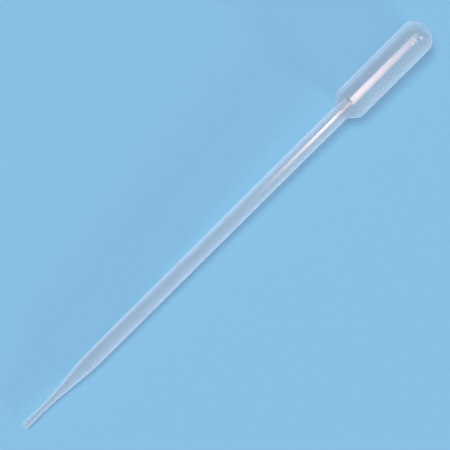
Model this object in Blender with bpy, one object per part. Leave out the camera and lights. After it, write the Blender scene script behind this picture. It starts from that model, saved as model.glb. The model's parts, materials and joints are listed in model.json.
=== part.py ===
"""Extra-long plastic transfer pipette: a drawn stem tube with a fine tip, welded into a blown squeeze bulb.

The pipette lies at rest on the plane z = 0: it touches it with the lower end of its stem and with the
shoulder of its bulb. Its axis runs along +X, tip first, and rises a little towards the bulb.
Metres, +Z up, origin at the middle of the footprint. Along the axis, x is counted from the tip.
"""

import math

import bmesh
import bpy
from mathutils import Matrix, Vector

# Stem and tip
OVERALL_LENGTH = 0.300
NOZZLE_LENGTH = 0.020  # the fine straight end of the tip
NOZZLE_RADIUS = 0.00185
NOZZLE_BORE_RADIUS = 0.00120
TAPER_END = 0.0485  # where the drawn taper has reached the full stem
STEM_RADIUS = 0.00450
STEM_BORE_RADIUS = 0.00385
STEM_TOP = 0.2365  # where the stem meets the bulb's shoulder
SPIGOT_TOP = 0.2444  # the stem's necked-down end, which stands inside the bulb
SPIGOT_RADIUS = 0.00375
SPIGOT_BORE_RADIUS = 0.00320
SPIGOT_LEAD = 0.003  # length over which the stem's bore narrows to the spigot's

# Bulb
SHOULDER_END = 0.2422
NECK_END = 0.2440
BULB_RADIUS = 0.00930
BULB_WALL = 0.00070
NECK_BORE_RADIUS = 0.00405
NECK_BORE_END = 0.2382
KNUCKLE_RADIUS = 0.0060  # rounds the barrel over into the dome
CROWN_RADIUS = 0.0105  # the flatter end of the dome

# The two walls that finger and thumb press in
WALL_LENGTH = 0.030
WALL_HALF_HEIGHT = 0.0050

GAP = 0.0003  # clearance between neighbouring pieces
SIDES = 32  # facets round the axis
ARC_STEPS = 6  # segments in each arc of the dome
WELD_DISTANCE = 1e-6


def clear_scene():
    for thing in list(bpy.data.objects):
        bpy.data.objects.remove(thing, do_unlink=True)


def polythene(name, shade, roughness):
    """Milky low-density polythene. Thicker wall looks whiter, so each piece has its own shade."""
    material = bpy.data.materials.new(name)
    material.use_nodes = True
    surface = material.node_tree.nodes["Principled BSDF"]
    surface.inputs["Base Color"].default_value = (shade * 0.93, shade * 0.97, shade, 1.0)
    surface.inputs["Roughness"].default_value = roughness
    surface.inputs["Metallic"].default_value = 0.0
    return material


def add_object(name, mesh, material, parent, at=0.0):
    """Links a mesh as a named piece, with its origin on the pipette's axis at x = at."""
    piece = bpy.data.objects.new(name, mesh)
    bpy.context.scene.collection.objects.link(piece)
    mesh.transform(Matrix.Translation((-at, 0.0, 0.0)))
    mesh.materials.clear()
    mesh.materials.append(material)
    piece.parent = parent
    piece.location = (at, 0.0, 0.0)
    return piece


def turned_mesh(name, outline):
    """Turns a closed outline of (x, radius) points about the axis. A flat of the result faces straight down."""
    shape = bmesh.new()
    start = Matrix.Rotation(math.pi / SIDES, 3, "X")
    corners = [shape.verts.new(start @ Vector((x, 0.0, -radius))) for x, radius in outline]
    edges = [
        shape.edges.new((corner, following))
        for corner, following in zip(corners, corners[1:] + corners[:1])
    ]
    bmesh.ops.spin(
        shape,
        geom=corners + edges,
        cent=(0.0, 0.0, 0.0),
        axis=(1.0, 0.0, 0.0),
        angle=2 * math.pi,
        steps=SIDES,
    )
    bmesh.ops.remove_doubles(shape, verts=shape.verts[:], dist=WELD_DISTANCE)
    bmesh.ops.recalc_face_normals(shape, faces=shape.faces[:])
    mesh = bpy.data.meshes.new(name)
    shape.to_mesh(mesh)
    shape.free()
    return mesh


def smooth_round(mesh):
    mesh.shade_smooth()
    mesh.set_sharp_from_angle(angle=math.radians(30.0))


def stem_pieces(parent):
    """The fine drawn tip, and the stem tube with the necked-down spigot that stands inside the bulb."""
    tip_end = TAPER_END - GAP / 2
    tip_outline = [
        (0.0, NOZZLE_RADIUS),
        (NOZZLE_LENGTH, NOZZLE_RADIUS),
        (tip_end, STEM_RADIUS),
        (tip_end, STEM_BORE_RADIUS),
        (NOZZLE_LENGTH, NOZZLE_BORE_RADIUS),
        (0.0, NOZZLE_BORE_RADIUS),
    ]
    tip = turned_mesh("drawn_tip", tip_outline)
    smooth_round(tip)
    add_object("drawn_tip", tip, polythene("tip_polythene", 0.90, 0.38), parent)

    stem_start = TAPER_END + GAP / 2
    stem_end = STEM_TOP - GAP / 2
    stem_outline = [
        (stem_start, STEM_RADIUS),
        (stem_end, STEM_RADIUS),
        (stem_end, SPIGOT_RADIUS),
        (SPIGOT_TOP, SPIGOT_RADIUS),
        (SPIGOT_TOP, SPIGOT_BORE_RADIUS),
        (stem_end, SPIGOT_BORE_RADIUS),
        (stem_end - SPIGOT_LEAD, STEM_BORE_RADIUS),
        (stem_start, STEM_BORE_RADIUS),
    ]
    stem = turned_mesh("stem_tube", stem_outline)
    smooth_round(stem)
    add_object("stem_tube", stem, polythene("stem_polythene", 0.86, 0.36), parent, stem_start)


def shoulder_radius(x):
    """Outer radius of the shoulder cone at x."""
    share = (x - STEM_TOP) / (SHOULDER_END - STEM_TOP)
    return STEM_RADIUS + share * (BULB_RADIUS - STEM_RADIUS)


def add_neck(parent):
    """The bulb's cone-shaped shoulder, bored to take the stem's spigot. The bulb rests on its corner."""
    neck_start = STEM_TOP + GAP / 2
    outline = [
        (neck_start, shoulder_radius(neck_start)),
        (SHOULDER_END, BULB_RADIUS),
        (NECK_END, BULB_RADIUS),
        (NECK_END, BULB_RADIUS - BULB_WALL),
        (NECK_BORE_END, NECK_BORE_RADIUS),
        (neck_start, NECK_BORE_RADIUS),
    ]
    mesh = turned_mesh("bulb_neck", outline)
    smooth_round(mesh)
    add_object("bulb_neck", mesh, polythene("neck_polythene", 0.92, 0.34), parent, neck_start)


def arc(centre_x, centre_radius, radius, start, end):
    """Points of an arc in the outline's plane, from angle start to angle end."""
    turns = [start + (end - start) * step / ARC_STEPS for step in range(ARC_STEPS + 1)]
    return [
        (centre_x + radius * math.cos(turn), centre_radius + radius * math.sin(turn))
        for turn in turns
    ]


def dome_geometry():
    """The crown arc's centre, the knuckle arc's centre (where the barrel ends) and the angle where they meet."""
    crown_x = OVERALL_LENGTH - CROWN_RADIUS
    knuckle_height = BULB_RADIUS - KNUCKLE_RADIUS
    knuckle_x = crown_x + math.sqrt((CROWN_RADIUS - KNUCKLE_RADIUS) ** 2 - knuckle_height**2)
    meeting = math.atan2(knuckle_height, knuckle_x - crown_x)
    return crown_x, knuckle_x, meeting


def dome_line(inset):
    """The dome's outline from the barrel to the pole, moved inwards by inset."""
    crown_x, knuckle_x, meeting = dome_geometry()
    knuckle_height = BULB_RADIUS - KNUCKLE_RADIUS
    knuckle = arc(knuckle_x, knuckle_height, KNUCKLE_RADIUS - inset, math.pi / 2, meeting)
    crown = arc(crown_x, 0.0, CROWN_RADIUS - inset, meeting, 0.0)
    pole = (crown[-1][0], 0.0)
    return knuckle + crown[1:-1] + [pole]


def add_dome(parent):
    """The closed end of the bulb."""
    start = dome_geometry()[1]
    mesh = turned_mesh("bulb_dome", dome_line(0.0) + dome_line(BULB_WALL)[::-1])
    smooth_round(mesh)
    add_object("bulb_dome", mesh, polythene("dome_polythene", 0.90, 0.34), parent, start)


def barrel_mesh(name, start, end):
    """A stretch of the bulb's straight tube."""
    inner = BULB_RADIUS - BULB_WALL
    return turned_mesh(name, [(start, BULB_RADIUS), (end, BULB_RADIUS), (end, inner), (start, inner)])


def add_cutter(name, low, high, parent):
    """An unseen box for a Boolean, from corner low to corner high."""
    box = bmesh.new()
    bmesh.ops.create_cube(box, size=1.0)
    low, high = Vector(low), Vector(high)
    for corner in box.verts:
        corner.co = Vector([a + (b - a) * (c + 0.5) for a, b, c in zip(low, high, corner.co)])
    mesh = bpy.data.meshes.new(name)
    box.to_mesh(mesh)
    box.free()
    cutter = bpy.data.objects.new(name, mesh)
    bpy.context.scene.collection.objects.link(cutter)
    cutter.parent = parent
    cutter.hide_render = True
    cutter.display_type = "WIRE"
    return cutter


def boolean(piece, operation, cutter):
    modifier = piece.modifiers.new(operation.lower(), "BOOLEAN")
    modifier.operation = operation
    modifier.solver = "EXACT"
    modifier.object = cutter


def add_barrel_and_walls(parent):
    """The bulb's barrel, with a window on each side, and the wall that moves in each window.

    Windows and walls are cut by planes parallel to the squeeze, so the gap round a wall stays the same
    all through its travel.
    """
    start = NECK_END + GAP
    end = dome_geometry()[1] - GAP
    middle = (start + end) / 2
    half_length = WALL_LENGTH / 2
    beyond = 2 * BULB_RADIUS

    barrel = barrel_mesh("bulb_barrel", start, end)
    smooth_round(barrel)
    barrel = add_object("bulb_barrel", barrel, polythene("barrel_polythene", 0.84, 0.34), parent, start)
    window_low = (middle - half_length - GAP, -beyond, -WALL_HALF_HEIGHT - GAP)
    window_high = (middle + half_length + GAP, beyond, WALL_HALF_HEIGHT + GAP)
    boolean(barrel, "DIFFERENCE", add_cutter("window_cutter", window_low, window_high, parent))

    for name, side in (("front_wall", -1), ("back_wall", 1)):
        wall = barrel_mesh(name, start, end)
        smooth_round(wall)
        wall = add_object(name, wall, polythene(f"{name}_polythene", 0.88, 0.34), parent, middle)
        near, far = sorted((0.0, side * beyond))
        wall_low = (middle - half_length, near, -WALL_HALF_HEIGHT)
        wall_high = (middle + half_length, far, WALL_HALF_HEIGHT)
        boolean(wall, "INTERSECT", add_cutter(f"{name}_cutter", wall_low, wall_high, parent))


def lay_down(axis_empty):
    """Tilts the pipette until stem and shoulder both touch z = 0, and centres its footprint on the origin."""
    flat = math.cos(math.pi / SIDES)  # the flats lie this share of the radius below the axis
    run = SHOULDER_END - (TAPER_END + GAP / 2)
    tilt = math.atan(flat * (BULB_RADIUS - STEM_RADIUS) / run)
    axis_empty.rotation_euler = (0.0, -tilt, 0.0)
    bpy.context.view_layer.update()
    corners = [
        piece.matrix_world @ vertex.co
        for piece in axis_empty.children
        if piece.type == "MESH" and not piece.hide_render
        for vertex in piece.data.vertices
    ]
    low = Vector([min(corner[i] for corner in corners) for i in range(3)])
    high = Vector([max(corner[i] for corner in corners) for i in range(3)])
    axis_empty.location -= Vector(((low.x + high.x) / 2, (low.y + high.y) / 2, low.z))
    bpy.context.view_layer.update()


def build():
    clear_scene()
    axis_empty = bpy.data.objects.new("pipette_axis", None)
    bpy.context.scene.collection.objects.link(axis_empty)
    stem_pieces(axis_empty)
    add_neck(axis_empty)
    add_barrel_and_walls(axis_empty)
    add_dome(axis_empty)
    lay_down(axis_empty)


build()
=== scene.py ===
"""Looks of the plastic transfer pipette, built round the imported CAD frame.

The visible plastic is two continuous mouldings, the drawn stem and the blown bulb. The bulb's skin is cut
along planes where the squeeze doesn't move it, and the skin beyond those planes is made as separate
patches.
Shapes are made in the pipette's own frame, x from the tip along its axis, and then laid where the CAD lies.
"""

import json
import math

import bmesh
import bpy
from mathutils import Matrix, Vector


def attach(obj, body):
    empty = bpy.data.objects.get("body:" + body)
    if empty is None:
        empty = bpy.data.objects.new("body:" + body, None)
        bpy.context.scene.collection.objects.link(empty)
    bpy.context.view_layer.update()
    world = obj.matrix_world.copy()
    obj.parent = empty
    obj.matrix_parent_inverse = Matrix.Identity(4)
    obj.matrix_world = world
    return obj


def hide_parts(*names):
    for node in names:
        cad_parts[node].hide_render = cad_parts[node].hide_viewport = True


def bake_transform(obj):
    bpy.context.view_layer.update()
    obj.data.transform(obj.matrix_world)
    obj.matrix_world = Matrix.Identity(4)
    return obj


MM = 0.001

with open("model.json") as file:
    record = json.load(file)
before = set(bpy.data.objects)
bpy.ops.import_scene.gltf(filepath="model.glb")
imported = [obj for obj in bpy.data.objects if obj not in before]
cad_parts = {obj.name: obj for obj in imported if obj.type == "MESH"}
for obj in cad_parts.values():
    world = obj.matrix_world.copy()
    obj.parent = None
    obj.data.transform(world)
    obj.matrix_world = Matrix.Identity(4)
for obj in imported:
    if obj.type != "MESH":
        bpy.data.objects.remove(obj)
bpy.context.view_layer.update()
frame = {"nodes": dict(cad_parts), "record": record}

# ---------------------------------------------------------------- the pipette's own frame, from the CAD

TIP_MOUNT = next(m for m in frame["record"]["mounts"] if m["name"] == "tip_end")
ALONG = -Vector(TIP_MOUNT["axis"]).normalized()
ACROSS = Vector((0.0, 1.0, 0.0))
UP = ALONG.cross(ACROSS)
TIP = Vector((TIP_MOUNT["pos_m"][0], 0.0, TIP_MOUNT["pos_m"][2]))
LAY = Matrix.Translation(TIP) @ Matrix((ALONG, ACROSS, UP)).transposed().to_4x4()


def reach(node):
    """Where a CAD node starts and ends along the axis, and its largest distance from the axis."""
    local = [LAY.inverted() @ v.co for v in frame["nodes"][node].data.vertices]
    stations = [p.x for p in local]
    return min(stations), max(stations), max(math.hypot(p.y, p.z) for p in local)


TIP_END = reach("drawn_tip")[1]
STEM_TOP = reach("bulb_neck")[0]
SPIGOT_TOP = reach("stem_tube")[1]
STEM_RADIUS = reach("stem_tube")[2]
BULB_RADIUS = reach("bulb_barrel")[2]
BARREL_END = reach("bulb_dome")[0]
PIPETTE_END = reach("bulb_dome")[1]
WALL_START, WALL_END, _ = reach("front_wall")
WALL_MIDDLE = (WALL_START + WALL_END) / 2

# ---------------------------------------------------------------- sizes that only the looks need

NOZZLE_LENGTH = 20 * MM
NOZZLE_RADIUS = 1.85 * MM
NOZZLE_BORE = 1.2 * MM
STEM_BORE = 3.85 * MM
SPIGOT_RADIUS = 3.75 * MM
SPIGOT_BORE = 3.2 * MM
SPIGOT_LEAD = 3 * MM
CUT_RIM = 0.55 * MM  # length of the cut end inside the bulb, painted grey shade on its +Y half
SHOULDER_LENGTH = 5.7 * MM
BULB_WALL = 0.7 * MM
NECK_BORE = 4.05 * MM
NECK_BORE_LENGTH = 1.7 * MM
NECK_LENGTH = 7.5 * MM
KNUCKLE_RADIUS = 6.0 * MM
CROWN_RADIUS = 10.5 * MM
PAINTED_HIGHLIGHT_LUMPS = ((7.3 * MM, -2.0 * MM), (12.7 * MM, -1.1 * MM))  # two painted highlight lumps: back from the end, and across
LUMP_RADIUS = 1.1 * MM
LUMP_DEPTH = 0.4 * MM
STEM_SIDES = 96
BULB_SIDES = 144

SKIN_EDGE = 4.8 * MM  # the skin nearer the axis plane than this never moves
# Distances from the dent's middle, and the share of its reach that is lost by then.
DENT_ENDS = ((5.0 * MM, 0.0), (9.0 * MM, 0.06), (13.0 * MM, 0.22), (17.0 * MM, 0.47), (25.0 * MM, 1.03))

# ---------------------------------------------------------------- outlines


def eased(corners, spacing, turn_steps=8):
    """Points along a line through corners (x, radius, ease): each corner is eased over that length, and
    straight runs get a point at least every spacing."""
    bent = [Vector(corners[0][:2])]
    for before, corner, after in zip(corners, corners[1:], corners[2:]):
        here, ease = Vector(corner[:2]), corner[2]
        if ease == 0:
            bent.append(here)
            continue
        enter = here + (Vector(before[:2]) - here).normalized() * ease
        leave = here + (Vector(after[:2]) - here).normalized() * ease
        for step in range(turn_steps + 1):
            t = step / turn_steps
            bent.append(enter * (1 - t) ** 2 + here * 2 * t * (1 - t) + leave * t**2)
    bent.append(Vector(corners[-1][:2]))
    line = [bent[0]]
    for a, b in zip(bent, bent[1:]):
        pieces = max(1, math.ceil((b - a).length / spacing))
        line += [a.lerp(b, k / pieces) for k in range(1, pieces + 1)]
    return line


def arc(centre_x, centre_radius, radius, start, end, steps=14):
    turns = [start + (end - start) * step / steps for step in range(steps + 1)]
    return [
        Vector((centre_x + radius * math.cos(t), centre_radius + radius * math.sin(t))) for t in turns
    ]


def dome_line(inset):
    """The dome from the barrel to its pole, moved inwards by inset: a knuckle and then a flatter crown."""
    crown_x = PIPETTE_END - CROWN_RADIUS
    height = BULB_RADIUS - KNUCKLE_RADIUS
    knuckle_x = crown_x + math.sqrt((CROWN_RADIUS - KNUCKLE_RADIUS) ** 2 - height**2)
    meeting = math.atan2(height, knuckle_x - crown_x)
    knuckle = arc(knuckle_x, height, KNUCKLE_RADIUS - inset, math.pi / 2, meeting)
    crown = arc(crown_x, 0.0, CROWN_RADIUS - inset, meeting, 0.0)
    crown[-1].y = 0.0
    return knuckle, crown


# ---------------------------------------------------------------- mesh making


def turned(outline, sides):
    """A bmesh of an outline of (x, radius) points turned about the axis. A point at radius 0 is a pole."""
    shape = bmesh.new()
    rings = []
    for point in outline:
        if point.y < 1e-7:
            rings.append([shape.verts.new((point.x, 0.0, 0.0))])
            continue
        angles = [2 * math.pi * (k + 0.5) / sides for k in range(sides)]
        rings.append(
            [
                shape.verts.new((point.x, point.y * math.cos(a), point.y * math.sin(a)))
                for a in angles
            ]
        )
    return shape, rings


def skin(shape, rings, inner_rings):
    """Faces between neighbouring rings, and between the last and the first. The last inner_rings rings are
    the bore, and their faces get material slot 1."""
    first_inner = len(rings) - inner_rings
    for place, (a, b) in enumerate(zip(rings, rings[1:] + rings[:1])):
        if len(a) == 1 and len(b) == 1:
            continue
        for k in range(max(len(a), len(b))):
            corners = [a[k % len(a)], a[(k + 1) % len(a)], b[(k + 1) % len(b)], b[k % len(b)]]
            face = shape.faces.new(list(dict.fromkeys(corners)))
            face.material_index = int(first_inner <= place < len(rings) - 1)
    bmesh.ops.recalc_face_normals(shape, faces=shape.faces[:])


def cut(shape, at, normal, cap_slot):
    """Cuts away what lies beyond a plane, and closes the cut with faces of material slot cap_slot."""
    bmesh.ops.bisect_plane(
        shape,
        geom=shape.verts[:] + shape.edges[:] + shape.faces[:],
        dist=1e-7,
        plane_co=at,
        plane_no=normal,
        clear_outer=True,
    )
    rim = [e for e in shape.edges if e.is_boundary]
    made = bmesh.ops.triangle_fill(shape, use_beauty=True, edges=rim, normal=normal)
    for item in made["geom"]:
        if isinstance(item, bmesh.types.BMFace):
            item.material_index = cap_slot
            item.smooth = False
            if item.normal.dot(Vector(normal)) < 0:
                item.normal_flip()


def finished(shape, name, materials, sharp_deg=40.0):
    """Turns a bmesh in the pipette's frame into an object that lies where the CAD lies."""
    shape.transform(LAY)
    mesh = bpy.data.meshes.new(name)
    shape.to_mesh(mesh)
    shape.free()
    mesh.shade_smooth()
    mesh.set_sharp_from_angle(angle=math.radians(sharp_deg))
    for material in materials:
        mesh.materials.append(material)
    piece = bpy.data.objects.new(name, mesh)
    bpy.context.scene.collection.objects.link(piece)
    return piece


# ---------------------------------------------------------------- materials


class Nodes:
    """Short names for making and joining shader nodes."""

    def __init__(self, name):
        self.material = bpy.data.materials.new(name)
        self.material.use_nodes = True
        self.tree = self.material.node_tree
        self.tree.nodes.clear()

    def add(self, kind, **settings):
        node = self.tree.nodes.new(kind)
        for key, value in settings.items():
            setattr(node, key, value)
        return node

    def join(self, out_socket, in_socket):
        self.tree.links.new(out_socket, in_socket)

    def math(self, operation, *values, clamp=False):
        node = self.add("ShaderNodeMath", operation=operation, use_clamp=clamp)
        for socket, value in zip(node.inputs, values):
            if isinstance(value, (int, float)):
                socket.default_value = value
            else:
                self.join(value, socket)
        return node.outputs[0]


def along_the_tube(n, squeeze):
    """Coordinates in the pipette's own frame, the lengthwise one squeezed so that a pattern runs long."""
    mapping = n.add("ShaderNodeMapping", vector_type="TEXTURE")
    mapping.inputs["Location"].default_value = TIP
    mapping.inputs["Rotation"].default_value = LAY.to_euler()
    mapping.inputs["Scale"].default_value = (squeeze, 1.0, 1.0)
    n.join(n.add("ShaderNodeTexCoord").outputs["Object"], mapping.inputs["Vector"])
    return mapping.outputs["Vector"]


def noise(n, vector, scale, detail):
    texture = n.add("ShaderNodeTexNoise")
    texture.inputs["Scale"].default_value = scale
    texture.inputs["Detail"].default_value = detail
    n.join(vector, texture.inputs["Vector"])
    return texture.outputs["Fac"]


def leaning(n, clear, full):
    """A share from 0 to 1 across the pipette, from the place called clear to the one called full."""
    split = n.add("ShaderNodeSeparateXYZ")
    n.join(along_the_tube(n, 1.0), split.inputs[0])
    ramp = n.add("ShaderNodeMapRange", interpolation_type="SMOOTHSTEP")
    ramp.inputs["From Min"].default_value = clear
    ramp.inputs["From Max"].default_value = full
    n.join(split.outputs["Y"], ramp.inputs["Value"])
    return ramp.outputs["Result"]


def polythene(name, haze, milk, gloss_roughness, streak, cloud, ripple, shine, closing=1.0, lean=None):
    """Milky low-density polythene.

    haze is the cloudiness of one wall face seen straight on. A slanting look goes through more wall, so
    the face closes up towards its edges, the faster the higher closing is. Below 0 it clears up instead.
    streak is how much draw lines along the tube vary it, cloud how much soft patches do, and ripple the
    unevenness of the surface. lean is a pair of places across the pipette, towards its +Y side: the haze is
    clear at the first and full at the second, which paints one side lighter or greyer as the light falls
    there.
    """
    n = Nodes(name)
    lines = noise(n, along_the_tube(n, 60.0), 1100.0, 2.0)
    clouds = noise(n, along_the_tube(n, 2.5), 210.0, 4.0)

    streaks = n.math("MULTIPLY_ADD", lines, 2 * streak, 1.0 - streak)
    patches = n.math("MULTIPLY_ADD", clouds, 2 * cloud, 1.0 - cloud)
    density = n.math("MULTIPLY", n.math("MULTIPLY", streaks, patches), haze)
    if lean is not None:
        density = n.math("MULTIPLY", density, leaning(n, *lean))

    facing = n.add("ShaderNodeLayerWeight")
    facing.inputs["Blend"].default_value = 0.5
    upright = n.math("MAXIMUM", n.math("SUBTRACT", 1.0, facing.outputs["Facing"]), 0.04)
    path = n.math("DIVIDE", density, n.math("POWER", upright, closing))
    closed = n.math("SUBTRACT", 1.0, n.math("EXPONENT", n.math("MULTIPLY", path, -1.0)), clamp=True)

    bump = n.add("ShaderNodeBump")
    bump.inputs["Strength"].default_value = ripple
    bump.inputs["Distance"].default_value = 0.0002
    n.join(n.math("MULTIPLY_ADD", clouds, 0.6, lines), bump.inputs["Height"])

    clear = n.add("ShaderNodeBsdfTransparent")
    clear.inputs["Color"].default_value = (0.985, 0.99, 0.995, 1.0)
    front = n.add("ShaderNodeBsdfDiffuse")
    front.inputs["Color"].default_value = milk
    through = n.add("ShaderNodeBsdfTranslucent")
    through.inputs["Color"].default_value = milk
    body = n.add("ShaderNodeMixShader")
    body.inputs["Fac"].default_value = 0.4
    n.join(front.outputs[0], body.inputs[1])
    n.join(through.outputs[0], body.inputs[2])

    wall = n.add("ShaderNodeMixShader")
    n.join(closed, wall.inputs["Fac"])
    n.join(clear.outputs[0], wall.inputs[1])
    n.join(body.outputs[0], wall.inputs[2])

    gloss = n.add("ShaderNodeBsdfGlossy")
    gloss.inputs["Color"].default_value = (1.0, 1.0, 1.0, 1.0)
    gloss.inputs["Roughness"].default_value = gloss_roughness
    n.join(bump.outputs["Normal"], gloss.inputs["Normal"])
    glare = n.math("MULTIPLY_ADD", n.math("POWER", facing.outputs["Facing"], 5.0), 0.36, shine)
    surface = n.add("ShaderNodeMixShader")
    n.join(glare, surface.inputs["Fac"])
    n.join(wall.outputs[0], surface.inputs[1])
    n.join(gloss.outputs[0], surface.inputs[2])

    output = n.add("ShaderNodeOutputMaterial")
    n.join(surface.outputs[0], output.inputs["Surface"])
    return n.material


def inside_plastic():
    """The cut faces between two pieces of one skin: there is no surface there, so nothing shows."""
    n = Nodes("inside_of_the_wall")
    clear = n.add("ShaderNodeBsdfTransparent")
    output = n.add("ShaderNodeOutputMaterial")
    n.join(clear.outputs[0], output.inputs["Surface"])
    return n.material


MILK = (0.95, 0.93, 0.96, 1.0)
# Painted shade: a dark grey for the +Y half of the stem's cut end inside the bulb.
PAINTED_SHADE_GREY = (0.24, 0.26, 0.36, 1.0)
STEM_PLASTIC = polythene(
    "stem_polythene",
    haze=0.13,
    milk=MILK,
    gloss_roughness=0.12,
    streak=0.35,
    cloud=0.12,
    ripple=0.008,
    shine=0.06,
    closing=0.85,
)
STEM_BORE_PLASTIC = polythene(
    "stem_bore_polythene",
    haze=0.025,
    milk=MILK,
    gloss_roughness=0.14,
    streak=0.35,
    cloud=0.12,
    ripple=0.01,
    shine=0.045,
)
# Weld sleeve: rougher gloss, with haze clear on its -Y half and full on its +Y half, painted light on the
# lit side.
WELD_WITH_PAINTED_LIGHT = polythene(
    "weld_with_painted_light",
    haze=0.24,
    milk=MILK,
    gloss_roughness=0.26,
    streak=0.2,
    cloud=0.5,
    ripple=0.15,
    shine=0.09,
    closing=0.5,
    lean=(-2.5 * MM, 2.5 * MM),
)
# Painted shade: the cut end is grey on its +Y half only, because of how the light falls there.
CUT_END_PAINTED_SHADE = polythene(
    "cut_end_painted_shade",
    haze=0.55,
    milk=PAINTED_SHADE_GREY,
    gloss_roughness=0.4,
    streak=0.2,
    cloud=0.3,
    ripple=0.3,
    shine=0.01,
    lean=(-0.8 * MM, 1.4 * MM),
)
BULB_PLASTIC = polythene(
    "bulb_polythene",
    haze=0.09,
    milk=MILK,
    gloss_roughness=0.18,
    streak=0.15,
    cloud=0.2,
    ripple=0.05,
    shine=0.065,
)
BULB_BORE_PLASTIC = polythene(
    "bulb_bore_polythene",
    haze=0.02,
    milk=MILK,
    gloss_roughness=0.22,
    streak=0.15,
    cloud=0.2,
    ripple=0.05,
    shine=0.05,
)
# Painted highlight: dense white haze that makes the lumps show as two bright spots.
PAINTED_HIGHLIGHT_PLASTIC = polythene(
    "painted_highlight_polythene",
    haze=0.55,
    milk=MILK,
    gloss_roughness=0.25,
    streak=0.1,
    cloud=0.3,
    ripple=0.1,
    shine=0.03,
    closing=-1.5,
)
INSIDE = inside_plastic()

# ---------------------------------------------------------------- the stem


def make_stem():
    """The stem and its drawn tip, one tube with the bore right through it and the spigot at its top."""
    outside = eased(
        [
            (0.0, NOZZLE_BORE, 0),
            (0.0, NOZZLE_RADIUS, 0.12 * MM),
            (NOZZLE_LENGTH, NOZZLE_RADIUS, 7 * MM),
            (TIP_END, STEM_RADIUS, 8 * MM),
            (STEM_TOP, STEM_RADIUS, 0),
            (STEM_TOP, SPIGOT_RADIUS, 0.25 * MM),
            (SPIGOT_TOP - CUT_RIM, SPIGOT_RADIUS, 0),
            (SPIGOT_TOP, SPIGOT_RADIUS, 0.2 * MM),
            (SPIGOT_TOP, SPIGOT_BORE, 0),
        ],
        spacing=2.5 * MM,
    )
    bore = eased(
        [
            (SPIGOT_TOP - CUT_RIM, SPIGOT_BORE, 0),
            (STEM_TOP, SPIGOT_BORE, 1 * MM),
            (STEM_TOP - SPIGOT_LEAD, STEM_BORE, 1 * MM),
            (TIP_END, STEM_BORE, 8 * MM),
            (NOZZLE_LENGTH, NOZZLE_BORE, 7 * MM),
            (0.12 * MM, NOZZLE_BORE, 0),
        ],
        spacing=2.5 * MM,
    )
    shape, rings = turned(outside + bore, STEM_SIDES)
    skin(shape, rings, inner_rings=len(bore))
    for face in shape.faces:
        middle = face.calc_center_median()
        # Faces past here get the cut end's painted grey shade.
        if middle.x > SPIGOT_TOP - CUT_RIM:
            face.material_index = 3
        # The spigot's outside gets the weld sleeve, painted lighter on its +Y half.
        elif middle.x > STEM_TOP and face.material_index == 0:
            face.material_index = 2
    stem = finished(shape, "stem_and_tip", [STEM_PLASTIC, STEM_BORE_PLASTIC, WELD_WITH_PAINTED_LIGHT, CUT_END_PAINTED_SHADE])
    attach(stem, "pipette")
    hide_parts("drawn_tip", "stem_tube")


make_stem()

# ---------------------------------------------------------------- the bulb


def bulb_shape():
    """The whole bulb skin, outer and inner face, before it is cut."""
    shoulder_end = STEM_TOP + SHOULDER_LENGTH
    neck_end = STEM_TOP + NECK_LENGTH
    inner_radius = BULB_RADIUS - BULB_WALL
    knuckle, crown = dome_line(0.0)
    inner_knuckle, inner_crown = dome_line(BULB_WALL)
    outside = eased(
        [
            (STEM_TOP, STEM_RADIUS, 0),
            (shoulder_end, BULB_RADIUS, 1.5 * MM),
            (knuckle[0].x, knuckle[0].y, 0),
        ],
        spacing=0.6 * MM,
    )
    inside = eased(
        [
            (inner_knuckle[0].x, inner_knuckle[0].y, 0),
            (neck_end, inner_radius, 1.2 * MM),
            (STEM_TOP + NECK_BORE_LENGTH, NECK_BORE, 0.6 * MM),
            (STEM_TOP, NECK_BORE, 0),
        ],
        spacing=0.6 * MM,
    )
    outer_outline = outside + knuckle[1:] + crown[1:]
    inner_outline = (inner_knuckle[1:] + inner_crown[1:])[::-1] + inside
    shape, rings = turned(outer_outline + inner_outline, BULB_SIDES)
    skin(shape, rings, inner_rings=len(inner_outline))
    return shape


def make_bulb():
    """The fixed part of the bulb, between the planes that the squeeze doesn't reach past."""
    shape = bulb_shape()
    for side in (-1, 1):
        cut(shape, (0.0, side * SKIN_EDGE, 0.0), (0.0, side, 0.0), cap_slot=2)
    bulb = finished(shape, "bulb", [BULB_PLASTIC, BULB_BORE_PLASTIC, INSIDE])
    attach(bulb, "pipette")
    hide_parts("bulb_neck", "bulb_barrel", "bulb_dome")


def make_wall_patch(name, side, low, high):
    """The part of one side of the bulb from x = low to high, or to the bulb's end where that is None."""
    shape = bulb_shape()
    cut(shape, (0.0, side * SKIN_EDGE, 0.0), (0.0, -side, 0.0), cap_slot=2)
    if low is not None:
        cut(shape, (low, 0.0, 0.0), (-1.0, 0.0, 0.0), cap_slot=2)
    if high is not None:
        cut(shape, (high, 0.0, 0.0), (1.0, 0.0, 0.0), cap_slot=2)
    patch = finished(shape, name, [BULB_PLASTIC, BULB_BORE_PLASTIC, INSIDE])
    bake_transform(patch)
    return patch


def make_wall(name, side):
    """One side of the bulb: a middle patch, and a row of patches to each end, cut at the distances in
    DENT_ENDS."""
    flat = DENT_ENDS[0][0]
    middle = make_wall_patch(
        f"{name}_middle", side, WALL_MIDDLE - flat, WALL_MIDDLE + flat
    )
    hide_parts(name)
    for place, ((near, lost), (far, more_lost)) in enumerate(zip(DENT_ENDS, DENT_ENDS[1:]), start=1):
        last = place == len(DENT_ENDS) - 1
        low, high = WALL_MIDDLE - near, WALL_MIDDLE + near
        low_end = None if last else WALL_MIDDLE - far
        high_end = None if last else WALL_MIDDLE + far
        make_wall_patch(
            f"{name}_lower_{place}", side, low_end, low
        )
        make_wall_patch(
            f"{name}_upper_{place}", side, high, high_end
        )


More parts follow.
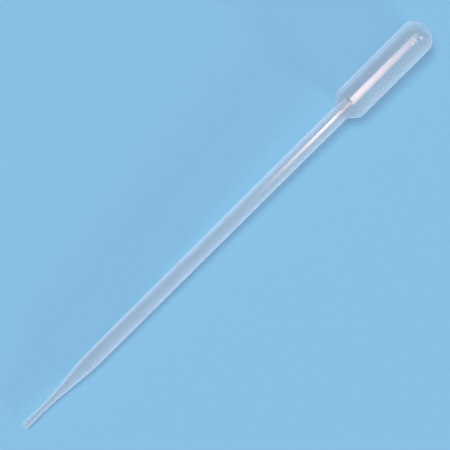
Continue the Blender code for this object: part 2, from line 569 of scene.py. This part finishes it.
def make_painted_highlight_lumps():
    """Two small lumps inside the top of the dome, shaped as a blown bulb's pinch-off scar; their dense
    white haze is painted highlight for two bright spots.
    """
    shape = bmesh.new()
    for back_from_end, across in PAINTED_HIGHLIGHT_LUMPS:
        up = math.sqrt((BULB_RADIUS - BULB_WALL) ** 2 - across**2)
        tilt = Matrix.Rotation(math.atan2(-across, up), 4, "X")
        place = Matrix.Translation((PIPETTE_END - back_from_end, across, up))
        flat = Matrix.Diagonal((LUMP_RADIUS, LUMP_RADIUS, LUMP_DEPTH, 1.0))
        bmesh.ops.create_icosphere(shape, subdivisions=4, radius=1.0, matrix=place @ tilt @ flat)
    highlight_lumps = finished(shape, "painted_highlight_lumps", [PAINTED_HIGHLIGHT_PLASTIC])
    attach(highlight_lumps, "pipette")


make_bulb()
make_painted_highlight_lumps()
make_wall("front_wall", -1)
make_wall("back_wall", 1)

# ---------------------------------------------------------------- floor, light and camera


def make_floor():
    n = Nodes("pale_floor")
    surface = n.add("ShaderNodeBsdfPrincipled")
    surface.inputs["Base Color"].default_value = (0.205, 0.43, 0.63, 1.0)
    surface.inputs["Roughness"].default_value = 0.9
    surface.inputs["Specular IOR Level"].default_value = 0.1
    output = n.add("ShaderNodeOutputMaterial")
    n.join(surface.outputs[0], output.inputs["Surface"])
    mesh = bpy.data.meshes.new("floor")
    half = 3.0
    mesh.from_pydata(
        [(-half, -half, 0.0), (half, -half, 0.0), (half, half, 0.0), (-half, half, 0.0)], [], [(0, 1, 2, 3)]
    )
    mesh.materials.append(n.material)
    floor = bpy.data.objects.new("floor", mesh)
    bpy.context.scene.collection.objects.link(floor)


def add_softbox(name, at, aim, width, length, power, colour=(1.0, 1.0, 1.0)):
    light = bpy.data.lights.new(name, "AREA")
    light.shape = "RECTANGLE"
    light.size, light.size_y = width, length
    light.energy = power
    light.color = colour
    lamp = bpy.data.objects.new(name, light)
    lamp.location = at
    lamp.rotation_euler = (Vector(aim) - Vector(at)).to_track_quat("-Z", "Y").to_euler()
    bpy.context.scene.collection.objects.link(lamp)
    return lamp


def fade_rims(lamp, low_x, high_x, low_y, high_y):
    """Lets a softbox fade out towards its rims, each over a share of its width (x) or length (y)."""
    lamp.data.use_nodes = True
    tree = lamp.data.node_tree
    place = tree.nodes.new("ShaderNodeNewGeometry").outputs["Parametric"]
    split = tree.nodes.new("ShaderNodeSeparateXYZ")
    tree.links.new(place, split.inputs[0])
    glow = None
    for axis, rim, full in (
        ("X", 0.0, low_x),
        ("X", 1.0, 1.0 - high_x),
        ("Y", 0.0, low_y),
        ("Y", 1.0, 1.0 - high_y),
    ):
        ramp = tree.nodes.new("ShaderNodeMapRange")
        ramp.interpolation_type = "SMOOTHSTEP"
        ramp.inputs["From Min"].default_value = rim
        ramp.inputs["From Max"].default_value = full
        tree.links.new(split.outputs[axis], ramp.inputs["Value"])
        if glow is None:
            glow = ramp.outputs["Result"]
            continue
        both = tree.nodes.new("ShaderNodeMath")
        both.operation = "MULTIPLY"
        tree.links.new(glow, both.inputs[0])
        tree.links.new(ramp.outputs["Result"], both.inputs[1])
        glow = both.outputs[0]
    tree.links.new(glow, tree.nodes["Emission"].inputs["Strength"])


def add_sun(name, elevation, bearing, spread, strength):
    """Far-off soft light that doesn't show in the gloss. Bearing is 0 over +X and 90 over +Y (degrees)."""
    light = bpy.data.lights.new(name, "SUN")
    light.angle = math.radians(spread)
    light.energy = strength
    lamp = bpy.data.objects.new(name, light)
    up, turn = math.radians(elevation), math.radians(bearing)
    place = Vector((math.cos(up) * math.cos(turn), math.cos(up) * math.sin(turn), math.sin(up)))
    lamp.rotation_euler = place.to_track_quat("Z", "Y").to_euler()
    lamp.visible_glossy = False
    bpy.context.scene.collection.objects.link(lamp)


def make_world():
    """Even light from all round. Past the floor's end, the camera sees about the colour of the floor."""
    world = bpy.data.worlds.new("studio")
    bpy.context.scene.world = world
    world.use_nodes = True
    tree = world.node_tree
    light = tree.nodes["Background"]
    light.inputs["Color"].default_value = (0.93, 0.97, 1.03, 1.0)
    light.inputs["Strength"].default_value = 0.33
    backdrop = tree.nodes.new("ShaderNodeBackground")
    backdrop.inputs["Color"].default_value = (0.253, 0.522, 0.772, 1.0)
    choice = tree.nodes.new("ShaderNodeMixShader")
    tree.links.new(tree.nodes.new("ShaderNodeLightPath").outputs["Is Camera Ray"], choice.inputs["Fac"])
    tree.links.new(light.outputs[0], choice.inputs[1])
    tree.links.new(backdrop.outputs[0], choice.inputs[2])
    tree.links.new(choice.outputs[0], tree.nodes["World Output"].inputs["Surface"])


def make_light():
    """A key from the +Y side, a low light from the -Y side that catches the edges, and an overhead softbox
    that shows only in the gloss. The softbox fades out towards tip and dome, and slowest to the -Y side."""
    make_world()
    overhead = add_softbox(
        "overhead",
        at=(0.18, 0.03, 1.2),
        aim=(0.18, 0.03, 0.0),
        width=0.36,
        length=1.0,
        power=12.5,
        colour=(1.0, 0.62, 0.45),
    )
    fade_rims(overhead, low_x=0.5, high_x=0.42, low_y=0.9, high_y=0.05)
    overhead.visible_diffuse = False
    add_sun("key", elevation=71.0, bearing=90.0, spread=26.0, strength=2.45)
    add_sun("rim", elevation=10.0, bearing=-90.0, spread=15.0, strength=3.2)


PICTURE_WIDTH = 0.2406  # the stretch of floor that the picture shows, side to side
OFF_CENTRE = (0.0015, 0.00087)  # where the camera stands over the floor
PIPETTE_TURN = 44.8  # degrees from the picture's lower edge to the pipette


def make_camera():
    """Looks straight down, turned so that the pipette runs from the lower left to the upper right."""
    data = bpy.data.cameras.new("camera")
    data.lens = 100.0
    data.sensor_width = 36.0
    data.clip_start, data.clip_end = 0.01, 20.0
    camera = bpy.data.objects.new("camera", data)
    distance = PICTURE_WIDTH * data.lens / data.sensor_width
    camera.location = (*OFF_CENTRE, distance)
    camera.rotation_euler = (0.0, 0.0, math.radians(-PIPETTE_TURN))
    bpy.context.scene.collection.objects.link(camera)
    bpy.context.scene.camera = camera


make_floor()
make_light()
make_camera()
bpy.context.scene.view_settings.view_transform = "Standard"
bpy.context.scene.cycles.transparent_max_bounces = 64  # a look along the tube passes many wall faces
bpy.context.scene.cycles.caustics_reflective = False  # they would only leave white specks on the stem
